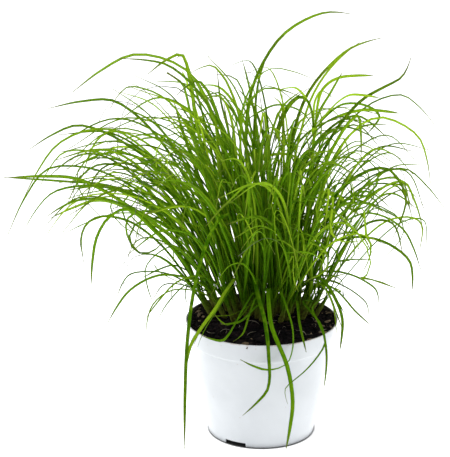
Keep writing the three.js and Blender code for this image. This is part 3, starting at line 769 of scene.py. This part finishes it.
def companions(paths, sides, widths, spread):
    """Finer leaves beside the given ones, which leave the same sheath, with their sides and widths, and
    which of them end in a hair.

    Each step of a path is turned about the upright by a fixed angle and a growing swirl, and tipped
    over by an angle that grows towards the tip. Some leaves curl near their tips or have a kink. A leaf
    that would leave the box or meet the pot is drawn in towards the given path."""
    paths, sides = resampled(paths, FINE_STATIONS), resampled(sides, FINE_STATIONS)
    low = paths[..., 2].max(1, keepdims=True) < LOW_LEAF
    turn, droop, lean, hair = companion_angles(paths, low, spread)
    steps = turned(np.diff(paths, axis=1), UPRIGHT, turn[:, 1:])
    sides = turned(sides, UPRIGHT, turn)
    level = unit(np.cross(UPRIGHT, steps) + 1e-9)
    steps = turned(steps, level, droop[:, 1:])
    steps = turned(steps, BACKWARD, lean[:, 1:])
    steps = steps * chance.uniform(*COMPANION_LENGTHS, (len(paths), 1, 1))
    moved = np.concatenate([paths[:, :1], paths[:, :1] + np.cumsum(steps, axis=1)], 1)
    chosen = drawn_in(resampled(paths, FINE_STATIONS, DRAWN_IN_REACH), moved)
    finer = np.minimum(widths, BROADEST_COMPANION) * np.where(low[:, 0], LOW_LEAF_WIDTH, 1)
    far = np.hypot(chosen[:, -1, 0], chosen[:, -1, 1]) > HAIR_REACH
    return chosen, sides, finer * chance.uniform(*COMPANION_WIDTHS, len(paths)), hair & far


def turn_to_front(side, along):
    """The angle about each leaf's path that turns its flat side to the front, as the mean over its
    stations: half the direction of the sum of w (cos 2a, sin 2a), where a is a station's angle."""
    flat = np.cross(along, FRONT)
    cosine = (side * flat).sum(-1)
    sine = (np.cross(side, flat) * along).sum(-1)
    angle = 2 * np.arctan2(sine, cosine)
    weight = (flat * flat).sum(-1)
    return 0.5 * np.arctan2((weight * np.sin(angle)).sum(1), (weight * np.cos(angle)).sum(1))[:, None]


def leaf_strips(paths, sides, widths, hair, grooved):
    """Corners of leaves as closed strips, and their attribute of place along, across and upper side.

    The width is w(u) = w min(1, 0.6 + 1.6u) (1 - u^p), never under that of a thin tip, where p is 15, or
    far more on a fine leaf that is cut off straight. A leaf that ends in a hair narrows to it between
    u = 0.5 and 0.85. The edges stand 0.12 w above the path. A grooved leaf has a fold 0.2 w below it,
    and a keel a leaf's thickness under that. A fine one is flat above, with its keel a leaf's thickness
    under the groove's depth. The sides are turned square to the path at each station, then part or all of
    the way to the front, and twisted about the path, more and more towards the tip."""
    u = station_shares(paths.shape[1])
    along = unit(np.gradient(paths, axis=1))
    side = unit(sides - (sides * along).sum(-1, keepdims=True) * along)
    count = len(paths)
    shares = chance.uniform(*(FACING_SHARES if grooved else FINE_FACING_SHARES), (count, 1))
    side = turned(side, along, turn_to_front(side, along) * shares * smoothstep(-0.1, 0.3, u))
    twist = chance.choice([-1, 1], (count, 1)) * chance.uniform(*TWISTS, (count, 1))
    side = turned(side, along, twist * (0.4 + 0.9 * u))
    face = np.cross(along, side)
    cut = (chance.uniform(0, 1, count) < CUT_SHARE) & ~hair & (not grooved)
    power = np.where(cut, CUT_POWER, TIP_POWER)[:, None]
    narrowing = np.where(hair[:, None], 1 - smoothstep(0.5, 0.85, u), 1 - u**power)
    shape = widths[:, None] * np.minimum(1, 0.6 + 1.6 * u) * narrowing
    shape[cut, -1] = widths[cut]
    width = np.maximum(shape, THINNEST_TIP)[..., None]
    right = paths + side * width / 2 + face * EDGE_LIFT * width
    left = paths - side * width / 2 + face * EDGE_LIFT * width
    groove = paths - face * GROOVE_DEPTH * width
    under = groove - face * LEAF_THICKNESS * (1 - 0.7 * u)[None, :, None]
    corners = np.stack([right, groove, left, under] if grooved else [right, left, under], axis=2)
    across = (1, 0, -1, 0) if grooved else (1, -1, 0)
    upper = (0.5, 1, 0.5, 0) if grooved else (0.7, 0.7, 0)
    places = np.stack(np.broadcast_arrays(u[:, None], np.array(across, float), np.array(upper, float)), -1)
    return corners, np.broadcast_to(places, (*corners.shape[:3], 3))


def add_leaves(name, groups, material, node):
    """One piece of groups of leaves. Each group holds paths, sides and widths, which of the leaves end in
    a hair, and whether they are grooved."""
    corners, faces, leaf, kind, creases, start = [], [], [], [], [], 0
    for paths, sides, widths, hair, grooved in groups:
        strips, places = leaf_strips(paths, sides, widths, hair, grooved)
        count, stations, profile = strips.shape[:3]
        tint = chance.beta(*TINTS, count) * np.where(hanging(paths), HANGING_TINT, 1)
        tone = np.stack([tint, hair, np.zeros(count)], -1)
        corners.append(strips.reshape(-1, 3))
        faces += [part + start for part in tube_faces(count, stations, profile)]
        leaf.append(places.reshape(-1, 3))
        kind.append(np.broadcast_to(tone[:, None, None], (*strips.shape[:3], 3)).reshape(-1, 3))
        creases.append(np.tile(np.arange(profile), count * stations))
        start += strips[..., 0].size
    piece = add_piece(name, np.concatenate(corners), faces, material, node)
    crease_lengthwise(piece, np.concatenate(creases))
    add_attribute(piece, "leaf", np.concatenate(leaf))
    add_attribute(piece, "kind", np.concatenate(kind))
    return piece


# Camera and light


def add_aimed(name, data, place, aim):
    """A camera or lamp of that data, at one place and turned towards another."""
    made = bpy.data.objects.new(name, data)
    made.location = place
    made.rotation_euler = (Vector(aim) - Vector(place)).to_track_quat("-Z", "Y").to_euler()
    bpy.context.scene.collection.objects.link(made)
    return made


def add_camera():
    data = bpy.data.cameras.new("camera")
    data.lens = SENSOR * FOCAL_PIXELS / PHOTO_LONG_SIDE
    data.sensor_width = SENSOR
    data.clip_end = 20
    bpy.context.scene.camera = add_aimed("camera", data, CAMERA_PLACE, CAMERA_AIM)


def add_softbox(name, place, aim, size, power):
    data = bpy.data.lights.new(name, "AREA")
    data.shape = "RECTANGLE"
    data.size, data.size_y = size
    data.energy = power
    add_aimed(name, data, place, aim)


def add_studio():
    """A white room: a pale floor with a painted shadow under and round the pot's foot, an even white
    surround, and soft lamps left, right and above.
    """
    scene = bpy.context.scene
    scene.view_settings.view_transform = "Standard"
    scene.view_settings.look = "None"
    world = bpy.data.worlds.new("white_surround")
    world.use_nodes = True
    world.node_tree.nodes["Background"].inputs["Color"].default_value = (1, 1, 1, 1)
    world.node_tree.nodes["Background"].inputs["Strength"].default_value = SURROUND_STRENGTH
    scene.world = world
    for softbox in SOFTBOXES:
        add_softbox(*softbox)
    f = Finish("white_floor")
    away = f.vector_maths("LENGTH", f.vector_maths("ADD", f.place, SHADOW_SHIFT)).output("Value")
    floor_white = f.blend(f.noise(40.0), *FLOOR_WHITES)
    # Painted shadow: dark under the pot and in a thin contact ring round its foot, a little to the front.
    floor_white = f.blend(away.within(*PAINTED_SHADOW_RADII), PAINTED_SHADE_UNDER_POT, floor_white)
    glow = f.blend(away.within(*GLOWING_FLOOR), (0.0, 0.0, 0.0), (1.0, 1.0, 1.0))
    mesh = bpy.data.meshes.new("floor")
    corners = [(x * FLOOR_HALF, y * FLOOR_HALF, 0) for x, y in ((-1, -1), (1, -1), (1, 1), (-1, 1))]
    mesh.from_pydata(corners, [], [(0, 1, 2, 3)])
    mesh.materials.append(f.show(f.surface(
        Base_Color=floor_white, Roughness=0.9, Emission_Color=glow, Emission_Strength=FLOOR_GLOW)))
    floor = bpy.data.objects.new("floor", mesh)
    scene.collection.objects.link(floor)
    floor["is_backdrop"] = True


# Pot


def rounded(start, corner, end, reach):
    """Places on a curve that cuts a corner: the quadratic through points at that reach from it."""
    start, corner, end = map(np.array, (start, corner, end))
    a = corner + unit(start - corner) * reach
    b = corner + unit(end - corner) * reach
    t = np.linspace(0, 1, ROUNDING_STEPS)[:, None]
    return (1 - t) ** 2 * a + 2 * t * (1 - t) * corner + t**2 * b


def wall_radius(height):
    """The outer radius of the wall below the collar, which widens evenly upwards."""
    return POT_BASE_RADIUS + TAPER * height


def pot_outline():
    """The pot's section from the middle of its underside, out and up the wall, over the lip and back."""
    collar_radius = wall_radius(COLLAR_FOOT) + COLLAR_STEP
    shoulder = COLLAR_FOOT - COLLAR_STEP
    sharp = [
        (PAD_RADIUS, 0),
        (PAD_RADIUS + PAD_SLOPE, FOOT_HEIGHT),
        (wall_radius(FOOT_HEIGHT) - WALL, FOOT_HEIGHT),
        (wall_radius(0) - WALL, 0),
        (wall_radius(0), 0),
        (wall_radius(shoulder), shoulder),
        (collar_radius, COLLAR_FOOT),
        (POT_TOP_RADIUS, POT_HEIGHT),
        (POT_TOP_RADIUS - WALL, POT_HEIGHT),
        (collar_radius - WALL, COLLAR_FOOT + COLLAR_STEP),
        (wall_radius(shoulder) - WALL, shoulder),
        (wall_radius(FLOOR_TOP) - WALL, FLOOR_TOP),
        (PAD_RADIUS + PAD_SLOPE - WALL / 2, FLOOR_TOP),
        (PAD_RADIUS - WALL / 2, WALL),
    ]
    reaches = [0.6, 0.6, 0.5, 0.3, 0.5, 1.2, 0.9, 0.45, 0.45, 0.9, 1.2, 0.5, 0.6, 0.6]
    loop = [(0, 0), *sharp, (0, WALL)]
    bends = [rounded(loop[k], loop[k + 1], loop[k + 2], reaches[k] * MM) for k in range(len(sharp))]
    return np.vstack([[(1e-5, 0)], *bends, [(1e-5, WALL)]])


def add_pot(material):
    """The section turned about the upright, with the three drain notches cut out of the foot."""
    outline = pot_outline()
    corners = round_rings(*outline.T, POT_SIDES).reshape(-1, 3)
    faces = tube_faces(1, len(outline), POT_SIDES)
    pot = add_piece("pot_shell", corners, faces, material, "pot")
    for k in range(NOTCH_COUNT):
        angle = np.radians(FIRST_NOTCH_ANGLE + 360 / NOTCH_COUNT * k)
        out = np.array((np.cos(angle), np.sin(angle), 0))
        across = np.array((-np.sin(angle), np.cos(angle), 0))
        box = np.array([
            out * (POT_BASE_RADIUS + x * NOTCH_DEPTH / 2) + across * y * NOTCH_WIDTH / 2 + (0, 0, z)
            for x in (-1, 1) for y in (-1, 1) for z in (-NOTCH_HEIGHT, NOTCH_HEIGHT)
        ])
        cutter = bpy.data.meshes.new("notch")
        cutter.from_pydata(box.tolist(), [], [
            (0, 1, 3, 2), (4, 6, 7, 5), (0, 4, 5, 1), (2, 3, 7, 6), (0, 2, 6, 4), (1, 5, 7, 3)])
        tool = bpy.data.objects.new("notch", cutter)
        bpy.context.scene.collection.objects.link(tool)
        cut = pot.modifiers.new("notch", "BOOLEAN")
        cut.operation = "DIFFERENCE"
        cut.object = tool
        cut.solver = "EXACT"
        shaped = bpy.data.meshes.new_from_object(pot.evaluated_get(bpy.context.evaluated_depsgraph_get()))
        pot.modifiers.clear()
        pot.data = shaped
        bpy.data.objects.remove(tool)
    pot.data.set_sharp_from_angle(angle=np.radians(POT_EDGE_ANGLE))


# Soil


def soil_height(x, y):
    """The solid soil's top: a low mound, m (1 - r^2/R^2), and slow bumps of crossing sine waves."""
    mound = MOUND * (1 - (x * x + y * y) / POT_TOP_RADIUS**2)
    wave = 2 * np.pi / BUMP_PITCH
    bump = np.sin(wave * x + 1) * np.cos(wave * y * 1.2) + np.sin(wave * (x * 0.6 - y) + 2)
    return POT_HEIGHT - SOIL_BELOW_LIP + mound + 0.5 * BUMP * bump


def scatter(count, radius):
    """So many places spread evenly by chance over a disc."""
    reach = radius * np.sqrt(chance.uniform(0, 1, count))
    turn = chance.uniform(0, 2 * np.pi, count)
    return np.stack([reach * np.cos(turn), reach * np.sin(turn)], -1)


def add_soil(material):
    """One closed body: a crumbled top, and below it the solid's own sides and floor.

    The top stands over the solid's by the highest of many half-round lumps, h sqrt(1 - d^2/r^2), and by
    an uneven rise towards the pot's wall."""
    lump_places = scatter(LUMPS, SOIL_EDGE_RADIUS)
    lump_radius = chance.uniform(*LUMP_RADII, LUMPS) * MM
    lump_height = lump_radius * chance.uniform(*LUMP_HEIGHTS, LUMPS)
    turn = np.linspace(0, 2 * np.pi, SOIL_SIDES, endpoint=False)
    reach = SOIL_EDGE_RADIUS * np.linspace(1, 0.004, SOIL_RINGS)
    x, y = reach[:, None] * np.cos(turn), reach[:, None] * np.sin(turn)
    relief = np.zeros(x.shape)
    for k in range(SOIL_RINGS):
        gap = (x[k][:, None] - lump_places[:, 0]) ** 2 + (y[k][:, None] - lump_places[:, 1]) ** 2
        dome = np.sqrt(np.maximum(0, 1 - gap / lump_radius**2)) * lump_height
        relief[k] = dome.max(1)
    uneven = 0.6 + 0.4 * np.sin(3 * turn + 1) * np.cos(5 * turn)
    rise = RIM_RISE * smoothstep(RIM_START, SOIL_EDGE_RADIUS, reach)[:, None] * uneven
    top = np.stack([x, y, soil_height(x, y) - 0.6 * MM + relief + rise], -1)
    inset = WALL + SOIL_GAP
    below = np.array([
        (1e-5, inset),
        (PAD_RADIUS - inset, inset),
        (PAD_RADIUS + PAD_SLOPE - WALL, FLOOR_TOP + SOIL_GAP),
        (wall_radius(FLOOR_TOP) - inset, FLOOR_TOP + SOIL_GAP),
        (wall_radius(COLLAR_FOOT - COLLAR_STEP) - inset - SOIL_GAP, COLLAR_FOOT),
    ])
    corners = np.concatenate([round_rings(*below.T, SOIL_SIDES), top]).reshape(-1, 3)
    faces = tube_faces(1, len(below) + SOIL_RINGS, SOIL_SIDES)
    add_piece("potting_soil", corners, faces, material, "soil")


def add_crumbs(material):
    """Loose crumbs and bark chips: twelve-cornered pebbles, each stretched and turned by chance."""
    directions = unit(np.array([
        (1, 0, 0), (0, 1, 0), (-1, 0, 0), (0, -1, 0), (0.6, 0.6, 0.7), (-0.6, 0.6, 0.7), (-0.6, -0.6, 0.7),
        (0.6, -0.6, 0.7), (0.5, 0.5, -0.8), (-0.5, 0.5, -0.8), (-0.5, -0.5, -0.8), (0.5, -0.5, -0.8)], float))
    places = scatter(CRUMBS, CRUMBS_RADIUS)
    size = np.clip(chance.gamma(2.2, 0.42, CRUMBS) * MM, *CRUMB_SIZES)
    places[:BARK_CHIPS] = BARK_PLACE + chance.normal(0, BARK_SPREAD, (BARK_CHIPS, 2))
    size[:BARK_CHIPS] = chance.uniform(*BARK_SIZES, BARK_CHIPS) * MM
    side_edge = np.abs(places[:, 0]) > PALE_EDGE
    light = chance.uniform(0, 1, CRUMBS) < np.where(side_edge, PALE_EDGE_CRUMBS, PALE_CRUMBS)
    light = light * chance.uniform(0.4, 1, CRUMBS)
    light[:BARK_CHIPS] = BARK_TONE
    size = size[:, None, None]
    stretch = chance.uniform(0.5, 1.5, (CRUMBS, 1, 3)) * (1.2, 1.2, 0.75)
    lumps = directions * stretch * size * chance.uniform(0.8, 1.15, (CRUMBS, 12, 1))
    turn = chance.uniform(0, 2 * np.pi, CRUMBS)
    lumps = turned(lumps, UPRIGHT, turn[:, None])
    tilt_axis = unit(np.stack([np.cos(turn), np.sin(turn), np.zeros(CRUMBS)], -1))[:, None]
    lumps = turned(lumps, tilt_axis, chance.uniform(*CRUMB_TILTS, CRUMBS)[:, None])
    rise = RIM_RISE * smoothstep(RIM_START, CRUMBS_RADIUS, np.hypot(*places.T)) * 0.6
    centre = np.stack([places[:, 0], places[:, 1], soil_height(*places.T) + 0.5 * MM + rise], -1)[:, None]
    corners = (lumps + centre).reshape(-1, 3)
    belt, crown, keel = np.arange(4), np.arange(4, 8), np.arange(8, 12)
    pattern = []
    for k in range(4):
        n = (k + 1) % 4
        pattern += [(belt[k], belt[n], crown[k]), (crown[k], belt[n], crown[n])]
        pattern += [(belt[n], belt[k], keel[k]), (belt[n], keel[k], keel[n])]
    pattern += [(crown[0], crown[1], crown[2]), (crown[0], crown[2], crown[3])]
    pattern += [(keel[2], keel[1], keel[0]), (keel[3], keel[2], keel[0])]
    faces = (np.arange(CRUMBS)[:, None, None] * 12 + np.array(pattern)).reshape(-1, 3)
    piece = add_piece("soil_crumbs", corners, [faces], material, None, smooth=False)
    add_attribute(piece, "tone", np.repeat(light, 12)[:, None] * np.ones(3))


def add_fibres(material):
    """Fine dry roots and bark fibres that lie on the soil: three-sided threads. Each turns evenly along
    its length, stands highest in its middle, by 1 - s^2, and thins to both ends, by 1 - 0.7 |s|."""
    start = scatter(FIBRES, FIBRES_RADIUS)
    s = np.linspace(-1, 1, FIBRE_RINGS)
    heading = chance.uniform(0, 2 * np.pi, (FIBRES, 1)) + chance.normal(0, 1.1, (FIBRES, 1)) * s
    length = chance.uniform(*FIBRE_LENGTHS, (FIBRES, 1)) * MM / FIBRE_RINGS
    x = start[:, :1] + np.cumsum(length * np.cos(heading), 1)
    y = start[:, 1:] + np.cumsum(length * np.sin(heading), 1)
    reach = np.hypot(x, y)
    kept = np.minimum(1, FARTHEST_FIBRE / reach)
    x, y = x * kept, y * kept
    z = soil_height(x, y) + (1.0 + 1.6 * (1 - s**2) * chance.uniform(0, 1, (FIBRES, 1))) * MM
    path = np.stack([x, y, z], -1)
    along = unit(np.gradient(path, axis=1))
    side = unit(np.cross(along, UPRIGHT))
    face = np.cross(side, along)
    thick = chance.uniform(*FIBRE_RADII, (FIBRES, 1, 1)) * MM * (1 - 0.7 * np.abs(s))[None, :, None]
    corners = rings_about(path, side, face, thick, FIBRE_SIDES).reshape(-1, 3)
    faces = tube_faces(FIBRES, FIBRE_RINGS, FIBRE_SIDES)
    piece = add_piece("soil_fibres", corners, faces, material, None)
    light = (chance.uniform(0, 1, FIBRES) < PALE_FIBRES) * chance.uniform(0.5, 1, FIBRES)
    add_attribute(piece, "tone", np.repeat(light, FIBRE_RINGS * FIBRE_SIDES)[:, None] * np.ones(3))


# The whole plant


def sheath_rings(foot, collar, axis):
    """A shoot's foot: a round tube along its axis, which narrows from the soil and closes at the collar,
    with a radius of (2.4 - 0.9 t) sqrt(1 - (t / 1.1)^4) mm at the share t of the way."""
    t = np.linspace(-0.04, 1.1, SHEATH_RINGS)
    first = unit(np.array((1.0, 0, 0)) - axis[0] * axis)
    second = np.cross(axis, first)
    radius = (2.4 - 0.9 * t) * MM * np.sqrt(np.maximum(0.004, 1 - (t / 1.1) ** 4))
    centre = foot + t[:, None] * (collar - foot)
    return rings_about(centre, first, second, radius[:, None], SHEATH_SIDES)


def companions_wanted(paths):
    """How many companions each leaf has in each of the two spreads, as a chance: most in the middle,
    fewer at the sides, fewest on the right and none beside leaves that hang over the pot."""
    rise = smoothstep(LOW_LEAF, TALL_LEAF, paths[..., 2].max(1))
    inner = rise * (1 - smoothstep(*INNER_REACH, reach_of(paths)))
    outer = rise * (LEFT_COMPANIONS + (RIGHT_COMPANIONS - LEFT_COMPANIONS) * rightward(paths))
    wanted = np.where(rise > 0, outer + (INNER_COMPANIONS - outer) * inner, LOW_COMPANIONS)
    return np.where(hanging(paths), 0, wanted)


def add_shoot(node, material):
    """The leaves of one shoot: one on each solid blade, and their finer companions. Returns its sheath."""
    base, blades = solid_blades(node)
    foot = base[base[:, 2] < base[:, 2].min() + WELD].mean(0)
    roots = np.concatenate([blade["root"] for blade in blades])
    meet = np.linalg.norm(roots[:, None] - roots[None], axis=2) < WELD
    collar = roots[meet.sum(1).argmax()]
    axis = unit(collar - foot)
    paths, sides, widths = even_paths(blades, foot, axis)
    broad = np.maximum(widths * SOLID_LEAF_WIDTH, LEAST_LEAF_WIDTH)
    groups = [(paths, sides, broad, np.zeros(len(paths), bool), True)]
    wanted = companions_wanted(paths)
    for spread in COMPANION_SPREADS:
        few = chance.uniform(0, 1, len(paths)) < wanted
        if few.any():
            groups.append((*companions(paths[few], sides[few], widths[few], spread), False))
    add_leaves(node + "_leaves", groups, material, node)
    return sheath_rings(foot, collar, axis)


def strip_attributes(piece, along, tint):
    """The leaf finish's attributes for a piece that isn't a leaf."""
    count = len(piece.data.vertices)
    add_attribute(piece, "leaf", np.broadcast_to(np.array((along, 0.3, 0.8)), (count, 3)))
    add_attribute(piece, "kind", np.broadcast_to(np.array((tint, 0.0, 0.0)), (count, 3)))


def add_stem(material):
    """The umbrella's stem: a three-cornered section with rounded corners, r = R (1 + 0.14 cos 3a), carried
    along the middles of the solid stem's rings."""
    corners, _ = solid_corners("umbrella_stem")
    middles = corners[np.argsort(corners[:, 2])].reshape(-1, 3, 3).mean(1)
    path, _ = smoothed(middles, STEM_STATIONS, middles)
    path[-1, 2] += STEM_OVERLAP
    along = unit(np.gradient(path, axis=0))
    side = unit(np.cross(along, BACKWARD))
    face = np.cross(side, along)
    turn = 2 * np.pi * np.arange(STEM_SIDES) / STEM_SIDES
    radius = STEM_RADIUS * (1 + 0.14 * np.cos(3 * turn)) * np.linspace(1.1, 0.85, len(path))[:, None]
    stem = rings_about(path, side, face, radius, STEM_SIDES).reshape(-1, 3)
    faces = tube_faces(1, len(path), STEM_SIDES)
    piece = add_piece("umbrella_culm", stem, faces, material, "umbrella_stem")
    strip_attributes(piece, 0.3, 0.6)


def add_umbrella_leaves(material):
    """The whorl's bracts, one on each solid bract. Returns the corners that they are rooted in."""
    _, blades = solid_blades("umbrella_bracts")
    paths, sides = zip(*(smoothed(blade["path"], STATIONS, blade["side"]) for blade in blades))
    widths = np.array([blade["width"] for blade in blades])
    bracts = (np.array(paths), np.array(sides), widths, np.zeros(len(blades), bool), True)
    add_leaves("umbrella_leaves", [bracts], material, "umbrella_bracts")
    return np.concatenate([blade["root"] for blade in blades])


def add_umbrella_head(material, roots):
    """The whorl's hub: a small turned bud, r = R sin(pi s)^0.7, from the stem's end to where the bracts
    meet."""
    centre = np.array([*roots[:, :2].mean(0), roots[:, 2].max()])
    s = np.linspace(0.001, 0.999, BUD_RINGS)
    bud = round_rings(BUD_RADIUS * np.sin(np.pi * s) ** 0.7, BUD_HEIGHT * s - BUD_DEPTH, BUD_SIDES) + centre
    faces = tube_faces(1, BUD_RINGS, BUD_SIDES)
    piece = add_piece("umbrella_bud", bud.reshape(-1, 3), faces, material, None)
    strip_attributes(piece, 0.2, 0.7)


add_camera()
add_studio()

leaf = leaf_finish()
add_pot(pot_finish())
add_soil(soil_finish("peat", PEAT, 150.0, PALE_CHIP))
add_crumbs(soil_finish("peat_crumbs", CRUMB, 120.0, PALE_CHIP))
add_fibres(soil_finish("dry_roots", DRY_ROOT, 200.0, PALE_ROOT))

shoots = sorted(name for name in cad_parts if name.startswith("shoot_"))
sheaths = np.array([add_shoot(node, leaf) for node in shoots])
sheath_faces = tube_faces(len(sheaths), SHEATH_RINGS, SHEATH_SIDES)
add_piece("shoot_sheaths", sheaths.reshape(-1, 3), sheath_faces, leaf, None)

bract_roots = add_umbrella_leaves(leaf)
add_stem(leaf)
add_umbrella_head(leaf, bract_roots)
